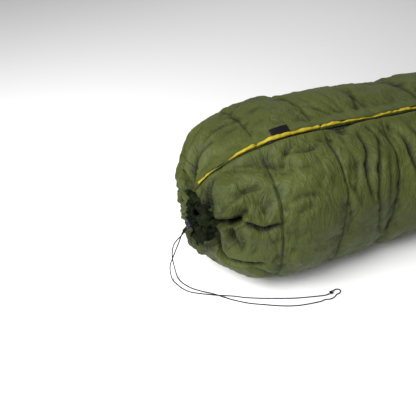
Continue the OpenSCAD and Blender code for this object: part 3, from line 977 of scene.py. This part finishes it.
def lining_grid():
    """The lining, puffed inwards between its own seams."""
    v = ROWS[:, None] + seam_wobble(ANGLES)
    away = seam_distance(v)
    puff = 5 * MM * (np.clip(away / (RING_SPACING / 2), 0, 1) ** 0.5 - 1)
    wrinkle = 1.6 * MM * ripple(PLAIN, 26, 8) + 1.2 * MM * ripple(PLAIN * (1, 3, 3), 16, 9)
    pucker = np.sin(ROUND / 0.012) * np.exp(-((away / 0.018) ** 2)) * 1.0 * MM
    lift = np.clip((LAST_V - ROWS[:, None]) / 0.03, 0, 1) * (puff + wrinkle + pucker)
    tucked = np.clip((ROWS[:, None] - LAST_V + 0.012) / 0.012, 0, 1) * 5 * MM
    grid = under(22 * MM) - OUT * (np.maximum(lift, -1 * MM) - tucked)[..., None]
    grid[..., 2] = np.maximum(grid[..., 2], 20 * MM)
    return grid


# ---- flap, roll and label beside the zip ----
def cluster(v, place, size):
    return math.exp(-(((v - place) / size) ** 2))


FLAP_Y, FLAP_BACK_Y = -0.0565, -0.022
ROLL_Y = -0.0618
LABEL_Y, LABEL_DEEP = -0.0595, 0.022


def flap_front_y(v):
    """How far the flap's free edge reaches over the zip."""
    wave = 1.3 * MM * math.sin(v / 0.021) + 1.6 * MM * math.sin(v / 0.057 + 1)
    cover = 12 * MM * cluster(v, 0.156, 0.026) + 4 * MM * cluster(v, 0.54, 0.04)
    return FLAP_Y + wave - cover


FLAP_FROM = 0.088
FLAP_PROFILE = (  # share of the width from the free edge, and height in mm
    (0.05, 1.2), (0.0, 1.8), (-0.01, 3.0), (0.02, 4.4), (0.10, 4.6), (0.25, 4.1), (0.45, 3.8),
    (0.65, 3.6), (0.82, 3.4), (0.88, 2.0), (0.94, 3.2), (0.99, 2.8), (1.0, 0.5),
)


def flap_rows():
    return np.concatenate([np.linspace(FLAP_FROM, 0.7, 150), np.linspace(0.7, LAST_V - 0.004, 200)[1:]])


def beside_zip(v, y):
    """Angles on the back panel of lines that run beside the zip."""
    s = float(s_of(max(v, NOSE)))
    return 360 + edge_angle(s, np.asarray(y))


def make_flap(fabric, thread):
    """The fabric flap over the zip, with a rolled free edge and three sewn rows."""
    rows = flap_rows()
    share, lift = np.array(FLAP_PROFILE).T
    sewn_puckers = np.exp(-((share - 0.9) / 0.1) ** 2) + np.exp(-((share - 0.13) / 0.1) ** 2)
    top, under_side, rims = [], [], {0.10: [], 0.16: [], 0.88: []}
    for v in rows:
        front = flap_front_y(v)
        wide = FLAP_BACK_Y - front
        full = lift * MM * (0.5 + 0.5 * min((v - FLAP_FROM) / 0.02, 1.0))
        pucker = 0.35 * MM * math.sin(v / 0.0045) * sewn_puckers
        angles = beside_zip(v, front + wide * share)
        top.append(on_shell(v, angles, full + pucker + 0.7 * MM * math.sin(v / 0.034) * (1 - share))[0])
        under_side.append(on_shell(v, angles, np.minimum(full * 0.35, 1.0 * MM) + 0.1 * MM)[0])
        for part, line in rims.items():
            height = float(np.interp(part, share[2:], full[2:]))
            spot, way = on_shell(v, beside_zip(v, [front + wide * part]), [height + 0.1 * MM])
            line.append((spot[0], way[0]))
    uv = np.stack(np.meshgrid(share * 0.035, rows), axis=-1)
    flap = slab_piece("flap", np.array(top), np.array(under_side), uv, fabric)
    file_under(flap, "zip_flap")
    for part, line in rims.items():
        path, way = np.array(line).transpose(1, 0, 2)
        row = stitch_row(f"flap_stitches_{round(part * 100)}", path, way, thread, thick=0.35 * MM)
        file_under(row)


def roll_radius(v):
    """Fuller in the middle of the foot, squeezed where the seams cross it."""
    plump = 3.0 * MM + 2.0 * MM * cluster(v, 0.29, 0.07) + 0.8 * MM * cluster(v, 0.40, 0.03)
    pinch = sum(0.6 * cluster(v, p, 0.004) for p in (0.247, 0.405, 0.60))
    thin = 0.97 * cluster(v, 0.158, 0.030) + 0.55 * cluster(v, 0.53, 0.04)
    waves = 0.6 * math.sin(v / 0.011) + 0.5 * math.sin(v / 0.0063 + 1) + 0.3 * math.sin(v / 0.0031)
    return (plump + waves * MM) * (1 - pinch) * (1 - thin)


def make_slit_facing(material):
    """Round the foot, where no chain shows, a strip of tape closes the slit under the roll."""
    rows = np.flatnonzero((ROWS > 0.02) & (ROWS < v_of(0.20)))
    share = np.linspace(-0.06, 1.06, 7)[None, :, None]
    front, back = (SHELL[rows, at] - 6 * MM * OUT[rows, at] * np.clip(ROWS[rows] / 0.15, 0.3, 1)[:, None]
                   for at in (0, -1))
    grid = front[:, None] * (1 - share) + back[:, None] * share
    sag = 0.8 * np.sin(np.pi * share) + 0.3 * ripple(grid, 60, 31)[..., None]
    grid = grid - OUT[rows, :1] * sag * MM
    uv = np.stack(np.meshgrid(share.ravel() * SLOT, ROWS[rows]), axis=-1)
    facing = slab_piece("slit_facing", grid, grid - OUT[rows, :1] * 0.7 * MM, uv, material)
    file_under(facing)


def make_roll(material):
    """The rolled edge of lining that shows in the slit."""
    rows = np.concatenate([np.linspace(0.09, 0.7, 260), np.linspace(0.7, LAST_V - 0.002, 300)[1:]])
    radius = np.array([roll_radius(v) for v in rows])
    path = np.array([on_shell(v, beside_zip(v, [ROLL_Y + 1.0 * MM * math.sin(v / 0.03)]), [r * 0.8])[0][0]
                     for v, r in zip(rows, radius)])
    rings = tube_points(path, radius, 12)
    rings = path[:, None] + (rings - path[:, None]) * (1 + 0.10 * ripple(rings, 160, 4))[..., None]
    uv = np.stack(np.meshgrid(np.linspace(0, 0.027, 12), rows), axis=-1)
    roll = piece("lining_roll", rings.reshape(-1, 3), tube_faces(len(rows), 12, False), material,
                 uv=uv.reshape(-1, 2))
    file_under(roll, "draft_tube")


def make_label(material, thread):
    """A small woven label, folded over the flap's free edge, whose back stands up."""
    low, high, _, _ = node_box("label")
    start, end = float(v_of(low[0] + LENGTH / 2)), float(v_of(high[0] + LENGTH / 2))
    share = np.linspace(0, 1, 10)
    rise = 5 * MM * share ** 1.5 + np.where(share == 0, 3.7 * MM, 5.2 * MM)
    rows = np.linspace(start, end, 16)
    top = []
    for v in rows:
        arch = 0.8 * MM * math.sin((v - start) / (end - start) * math.pi)
        top.append(on_shell(v, beside_zip(v, LABEL_Y + share * LABEL_DEEP), rise + arch)[0])
    top = np.array(top)
    uv = np.stack(np.meshgrid(share * LABEL_DEEP, rows), axis=-1)
    ways = normals_of(top)
    label = slab_piece("woven_label", top, top - ways * 0.7 * MM * np.sign(ways[..., 2:]), uv, material)
    file_under(label, "label")
    for k, row in enumerate((1, -2)):
        line = top[row] + (0, 0, 0.1 * MM)
        stitch_row(f"label_stitches_{k}", line, np.tile((0.0, 0.0, 1.0), (len(line), 1)), thread,
                   length=1.8 * MM, thick=0.25 * MM)


# ---- mouth binding ----
def make_binding(fabric, thread):
    """A rolled binding from the fabric over the edge to the lining, open at the zip."""
    fine = np.linspace(0, 1, 300)
    spots = np.interp(fine * (ANGLES.shape[1] - 1), np.arange(ANGLES.shape[1]), ANGLES[-1])
    outer, way = on_shell(LAST_V, spots, np.zeros(300))
    way[:, 0] = 0
    way /= np.linalg.norm(way, axis=1, keepdims=True)
    turn = np.radians(np.linspace(-60, 240, 26))
    half = 11 * MM
    centre = outer - way * half
    centre[:, 0] = LENGTH / 2 - 10 * MM
    puff = 1 + 0.05 * np.sin(fine * 260) + 0.06 * ripple(outer, 40, 6)
    rows = []
    for a in turn:
        out = way * math.sin(a) * (half + 0.8 * MM) * puff[:, None]
        ahead = max(math.cos(a), -0.8)
        rows.append(centre + out + np.array([1, 0, 0]) * 9.5 * MM * ahead * puff[:, None])
    grid = np.array(rows)
    grid[..., 2] = np.maximum(grid[..., 2], 0.5 * MM)
    inside = centre[None] + (grid - centre[None]) * 0.9
    uv = np.stack(np.meshgrid(fine * 1.55, np.linspace(0, 0.06, len(turn))), axis=-1)
    binding = slab_piece("mouth_binding", grid, inside, uv, fabric)
    file_under(binding, "head_hem")
    for name, row in (("outer", 21), ("inner", 3)):
        path = grid[row] + (grid[row] - centre) * 0.02
        stitch_row(f"binding_stitches_{name}", path, unit(grid[row] - centre), thread)


# ---- gathered foot ----
def make_gather(band):
    """The hem band drawn up by the cord: crumpled pleats that lie on the fabric around its rolled edge,
    coloured near black, partly as painted shade in the deep pleats.
    """
    angles = np.linspace(0, 360, 421)
    shares = np.linspace(0, 1, 40)
    rng = np.random.default_rng(5)
    phase = np.concatenate([[0], np.cumsum(rng.uniform(0.5, 1.8, len(angles) - 1))])
    phase *= 2 * math.pi * 31 / phase[-1]
    reach = band_reach(angles) * (0.92 + 0.06 * np.sin(phase) + 0.08 * np.sin(phase * 5 / 31 + 1))
    turned = np.where(angles < ANGLES[0, 0], angles + 360, angles)
    layers = []
    for share in shares:
        placed = [on_shell(0.002 + far * share, [turn], [0]) for far, turn in zip(reach, turned)]
        base = np.array([spot[0] for spot, _ in placed])
        out = np.array([way[0] for _, way in placed]) * share + GATHER_AXIS * (1 - share) ** 2
        out /= np.linalg.norm(out, axis=1, keepdims=True)
        side = np.gradient(base, axis=0)
        side /= np.linalg.norm(side, axis=1, keepdims=True) + 1e-9
        swell = math.sin(math.pi * min(share * 0.95 + 0.08, 1)) ** 0.5
        pleat = (1 + np.sin(phase + 1.5 * ripple(base, 40, 14))) * 2.6 * MM
        crumple = np.abs(ripple(base, 130, 12)) * 6 * MM + (1 + ripple(base, 60, 13)) * 2.5 * MM
        lift = (pleat + crumple) * swell + 0.8 * MM
        sway = ripple(base, 75, 15) * 4 * MM * swell
        layers.append(base + out * lift[:, None] + side * sway[:, None])
    grid = np.array(layers)
    grid[:, -1] = grid[:, 0]
    uv = np.stack(np.meshgrid(angles / 360 * 0.4, shares * 0.045), axis=-1)
    # the ruffle is near black, partly a dark hem and partly painted shade of its pleats
    ruffle = slab_piece("gathered_band_and_painted_shade", grid, grid - normals_of(grid) * 0.6 * MM, uv, band)
    file_under(ruffle)
    make_hem_ring(band)


def make_hem_ring(band):
    """The rolled hem that the cord runs in, squeezed into pleats."""
    turn = np.linspace(0, 2 * math.pi, 216, endpoint=False)
    centre = HEM_AT - np.array([LENGTH / 2, 0, 0])
    path = centre + HEM_R * (np.cos(turn)[:, None] * GATHER_SIDE + np.sin(turn)[:, None] * GATHER_UP)
    path = path + 1.2 * MM * np.sin(turn * 5 + 1)[:, None] * GATHER_AXIS
    radius = 4.2 * MM * (1 + 0.16 * np.sin(turn * 24) + 0.10 * np.sin(turn * 7))
    ring = tube_piece("rolled_hem", path, radius, 14, band, closed=True)
    file_under(ring, "foot_hem")


# ---- zip ----
PULLER_HINGE_X = 0.962


def make_tapes(material):
    for side in ("front", "back"):
        low, high, mid, size = node_box(f"zip_tape_{side}")
        lines = (np.linspace(low[0], high[0], 420), np.linspace(low[1], high[1], 7))
        xx, yy = np.meshgrid(*lines, indexing="ij")
        z = mid[2] + 0.25 * MM * np.sin(xx / 0.013) * (yy - mid[1]) / size[1]
        grid = np.stack([xx, yy, z], axis=-1)
        up = np.array([0, 0, 0.3 * MM])
        tape = slab_piece(f"tape_{side}", grid + up, grid - up, np.stack([yy, xx], axis=-1), material)
        file_under(tape, f"zip_tape_{side}")


def make_coils(material):
    """A nylon coil along each tape: flattened turns that mesh at the middle."""
    pitch, wire, steps = 2.4 * MM, 0.33 * MM, 10
    for side, hand, lag in (("front", 1, 0), ("back", -1, pitch / 2)):
        low, _, mid, size = node_box(f"zip_coil_{side}")
        turns = int((size[0] - 2 * MM) / pitch)
        t = np.arange(turns * steps) / steps
        a = 2 * math.pi * t * hand
        y = mid[1] + power(np.cos(a), 0.6) * (size[1] / 2 - wire)
        z = mid[2] + power(np.sin(a), 0.6) * (size[2] / 2 - wire)
        x = low[0] + 1 * MM + t * pitch + lag
        coil = tube_piece(f"coil_{side}", np.stack([x, y, z], axis=1), np.full(len(t), wire), 5, material)
        file_under(coil, f"zip_coil_{side}")


def bevelled(name, boxes, material, body, bevel):
    """A moulded piece of joined boxes with rounded edges; a box is (middle, size, taper along X)."""
    mesh = bmesh.new()
    for middle, size, taper in boxes:
        made = bmesh.ops.create_cube(mesh, size=1.0)["verts"]
        for v in made:
            narrow = 1 - taper * (v.co.x + 0.5)
            v.co = Vector((middle[0] + v.co.x * size[0], middle[1] + v.co.y * size[1] * narrow,
                           middle[2] + v.co.z * size[2]))
    bmesh.ops.bevel(mesh, geom=list(mesh.edges), offset=bevel, segments=3, profile=0.7, affect="EDGES")
    data = bpy.data.meshes.new(name)
    mesh.to_mesh(data)
    mesh.free()
    data.shade_smooth()
    return add_object(name, data, material, body)


def make_stops(metal, plastic):
    up = np.array([0, 0, 1])
    for side in ("front", "back"):
        _, _, mid, size = node_box(f"zip_stop_{side}")
        boxes = [(mid, size * (1, 1, 0.45), 0.0)]
        boxes += [(mid + up * size * part, size * (0.8, 0.7, 0.3), 0.0) for part in (0.32, -0.32)]
        stop = bevelled(f"crimped_stop_{side}", boxes, metal, "sack", 0.3 * MM)
        file_under(stop, f"zip_stop_{side}")
    _, _, mid, size = node_box("zip_stop_foot")
    boxes = [(mid, size * (1, 1, 0.7), 0.1), (mid + up * size * 0.2, size * (0.7, 0.4, 0.6), 0.0)]
    stop = bevelled("moulded_stop_foot", boxes, plastic, "sack", 0.4 * MM)
    file_under(stop, "zip_stop_foot")


def make_slider(plastic):
    """Two plates with side flanges, the post between them, and the bail over the top."""
    _, high, mid, size = node_box("zip_slider")
    chain = float(node_box("zip_tape_front")[2][2])
    long, wide = size[:2]
    flange = 0.8 * MM
    boxes = []
    for side in (-1, 1):
        boxes.append(((mid[0], mid[1], chain + side * 2.0 * MM), (long, wide, 1.2 * MM), 0.0))
        for edge in (-1, 1):
            boxes.append(((mid[0], mid[1] + edge * (wide - flange) / 2, chain + side * 1.1 * MM),
                          (long * 0.94, flange, 0.9 * MM), 0.0))
    boxes.append(((mid[0] + 1 * MM, mid[1], chain), (long - 5 * MM, flange, 4 * MM), 0.3))
    file_under(bevelled("slider", boxes, plastic, "slider", 0.25 * MM), "zip_slider")
    top = chain + 2.6 * MM
    turn = np.linspace(0, math.pi, 24)
    arch = np.stack([mid[0] + 3.0 * MM * power(np.cos(turn), 0.7), np.full(24, mid[1]),
                     top - 0.4 * MM + (high[2] - top - 0.3 * MM) * power(np.sin(turn), 0.5)], axis=1)
    file_under(tube_piece("slider_bail", arch, np.full(24, 0.5 * MM), 10, plastic, "slider"))


def make_puller(plastic):
    """A moulded tab with a ribbed grip, on two arms round the bail."""
    low, _, mid, size = node_box("zip_puller")
    tip, wide, hinge = low[0], size[1], PULLER_HINGE_X
    grip = hinge - 10.5 * MM - tip
    # each bar: place along X, place across, size along X, Y and Z, and taper along X
    bars = [(hinge - 6 * MM, side * 2.3 * MM, (11.6 * MM, 1.3 * MM, 1.2 * MM), 0.0) for side in (-1, 1)]
    bars.append((tip + grip / 2, 0, (grip, wide, 1.1 * MM), 0.25))
    for k in range(5):
        bars.append((tip + grip * (0.16 + 0.13 * k), 0, (0.9 * MM, wide * 0.72, 1.9 * MM), 0.0))
    bars.append((hinge, 0, (1.1 * MM, 5.6 * MM, 1.1 * MM), 0.0))
    boxes = [((x, ZIP_Y + across, mid[2]), shape, taper) for x, across, shape, taper in bars]
    file_under(bevelled("puller", boxes, plastic, "puller", 0.22 * MM), "zip_puller")


# ---- cord lock ----
LOCK_TURN = math.atan2(3, 4)
LOCK_FACETS = 48
CORD_HOLE_R = 1.9 * MM
CORD_HOLE_HALF = 12 * MM


def make_lock(plastic):
    """The barrel is hollow and open at one end, where the button goes in."""
    _, _, centre, size = node_box("cord_lock_body")
    outside = [(-0.5, 6.0), (-0.5, 7.2), (-0.47, 7.8), (-0.38, 8.0), (-0.36, 7.3), (-0.31, 7.3), (-0.29, 8.0),
               (0.12, 8.0), (0.14, 7.3), (0.19, 7.3), (0.21, 8.0), (0.26, 8.0), (0.28, 7.3), (0.33, 7.3),
               (0.35, 8.0), (0.44, 7.7), (0.49, 6.6), (0.5, 5.0), (0.5, 0.4)]
    inside = [(0.43, 0.4), (0.42, 5.4), (-0.48, 5.6)]
    barrel = [(share * size[1], radius * MM) for share, radius in outside + inside]
    lock_part("lock_barrel", "lock", "cord_lock_body", barrel, True, (-3 * MM, 1 * MM), centre, plastic)
    low, high, _, _ = node_box("cord_lock_plunger")
    start, end = low[1] - centre[1], high[1] - centre[1]
    steps = [(start, 0.3), (start + 0.1 * MM, 3.4), (start + 0.5 * MM, 4.4), (start + 1.2 * MM, 4.9),
             (start + 1.4 * MM, 5.2), (end - 0.4 * MM, 5.2), (end, 4.8), (end, 0.3)]
    button = [(along, radius * MM) for along, radius in steps]
    slot = (-6.5 * MM, 1 * MM)
    lock_part("lock_button", "lock_button", "cord_lock_plunger", button, False, slot, centre, plastic)


def lock_part(name, body, node, steps, hollow, slot, centre, plastic):
    """A turned part from (place along its axis, radius) steps, with the cord's slot cut through it."""
    turn = np.linspace(0, 2 * math.pi, LOCK_FACETS, endpoint=False)
    points = [(r * math.cos(t), y, r * math.sin(t)) for y, r in steps for t in turn]
    part = piece(name, points, tube_faces(len(steps), LOCK_FACETS, hollow), plastic, None)
    shape_by(part, capsule_cutter(*slot))
    part.data.transform(Matrix.Translation(Vector(centre)) @ Matrix.Rotation(LOCK_TURN, 4, "Y"))
    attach(part, body)
    file_under(part, node)


def capsule_cutter(low, high):
    """The slot that the cord's two strands pass through, round at both ends."""
    outline = []
    for centre, start in ((high, 0), (low, 180)):
        for k in range(13):
            a = math.radians(start + k * 15)
            outline.append((CORD_HOLE_R * math.cos(a), centre + CORD_HOLE_R * math.sin(a)))
    count = len(outline)
    points = [(x, y, z) for z in (-CORD_HOLE_HALF, CORD_HOLE_HALF) for x, y in outline]
    mesh = bpy.data.meshes.new("cutter")
    mesh.from_pydata(points, [], tube_faces(2, count, False))
    return add_object("cutter", mesh)


def shape_by(thing, cutter):
    """Cuts one mesh by another, and keeps only the result."""
    for item in (thing, cutter):
        work = bmesh.new()
        work.from_mesh(item.data)
        bmesh.ops.recalc_face_normals(work, faces=work.faces)
        work.to_mesh(item.data)
        work.free()
    modifier = thing.modifiers.new("cut", "BOOLEAN")
    modifier.object = cutter
    modifier.operation = "DIFFERENCE"
    modifier.solver = "EXACT"
    shown = thing.evaluated_get(bpy.context.evaluated_depsgraph_get())
    result = bpy.data.meshes.new_from_object(shown)
    thing.modifiers.clear()
    thing.data = result
    result.shade_smooth()
    edges = thing.modifiers.new("edges", "WEIGHTED_NORMAL")
    edges.keep_sharp = True
    bpy.data.objects.remove(cutter)


# ---- put together ----
def make_cords(braid):
    knot = make_knot(braid)
    file_under(knot, "cord_knot")
    for name, route, extra in (("a", ROUTE_A, [knot]), ("b", ROUTE_B, [])):
        points = smooth_route(route, 6)
        points[:, 2] = np.maximum(points[:, 2], CORD_WIDTH / 2)
        strand = cord_curve(f"drawcord_{name}", points, CORD_WIDTH, braid)
        file_under(strand, f"cord_strand_{name}")


make_camera()
make_studio()

olive = quilted_fabric("olive_nylon", OLIVE_DARK, OLIVE_LIGHT)
yellow = quilted_fabric("yellow_taffeta", YELLOW_DARK, YELLOW_LIGHT, (0.5, 0.62), 0.05, (1, 0.9, 0.5))
flap_olive = plain_fabric("olive_flap", OLIVE_DARK, OLIVE_LIGHT, 0.45 * MM, 0.6, tint=(0.7, 0.8, 0.5))
roll_yellow = plain_fabric("yellow_roll", YELLOW_DARK, YELLOW_LIGHT, 0.45 * MM, 0.55, tint=(1, 0.9, 0.5))
# near black: the dark hem band, partly painted shade of its deep pleats
band_dark_and_painted_shade = plain_fabric("dark_band_and_painted_shade", dim(1, 2, 1), dim(10, 14, 4), 0.5 * MM, 0.8, 0, gloss=0.06)
binding_olive = plain_fabric("olive_binding", (0.040, 0.052, 0.015), (0.058, 0.072, 0.022), 0.8 * MM, 0.6)
batting = plain_fabric("white_batting", (0.70, 0.70, 0.68), (0.82, 0.82, 0.80), 2.0 * MM, 0.9)
label_black = plain_fabric("black_label", dim(3, 3, 4), dim(6, 6, 7), 0.3 * MM, 0.7, 0, gloss=0.1)
tape_black = plain_fabric("black_tape", dim(2, 2, 2), dim(5, 5, 5), 0.6 * MM, 0.8, 0, gloss=0.08)
thread_olive = plain_fabric("olive_thread", (0.030, 0.038, 0.011), (0.042, 0.052, 0.016), 0.3 * MM, 0.6)
thread_black = plain_fabric("black_thread", dim(10, 10, 10), dim(20, 20, 20), 0.3 * MM, 0.6)
braid = braid_material("black_braid", dim(1, 1, 1), dim(6, 6, 7))
black_plastic = hard_material("black_plastic", dim(3, 3, 3), dim(9, 9, 10), 0.45)
coil_plastic = hard_material("coil_nylon", dim(3, 3, 3), dim(8, 8, 9), 0.5)
steel = hard_material("nickel", (0.55, 0.54, 0.50), (0.66, 0.65, 0.62), 0.3, metallic=1.0)

make_cords(braid)
make_panels(olive, batting, yellow)
make_flap(flap_olive, thread_olive)
make_roll(roll_yellow)
make_label(label_black, thread_black)
make_binding(binding_olive, thread_olive)
make_gather(band_dark_and_painted_shade)
make_tapes(tape_black)
make_slit_facing(tape_black)
make_coils(coil_plastic)
make_stops(steel, coil_plastic)
make_slider(black_plastic)
make_puller(black_plastic)
make_lock(black_plastic)

for node, material in (("hem_cord", braid), ("cord_lock_spring", steel)):
    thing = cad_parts[node]
    thing.data.materials.clear()
    thing.data.materials.append(material)
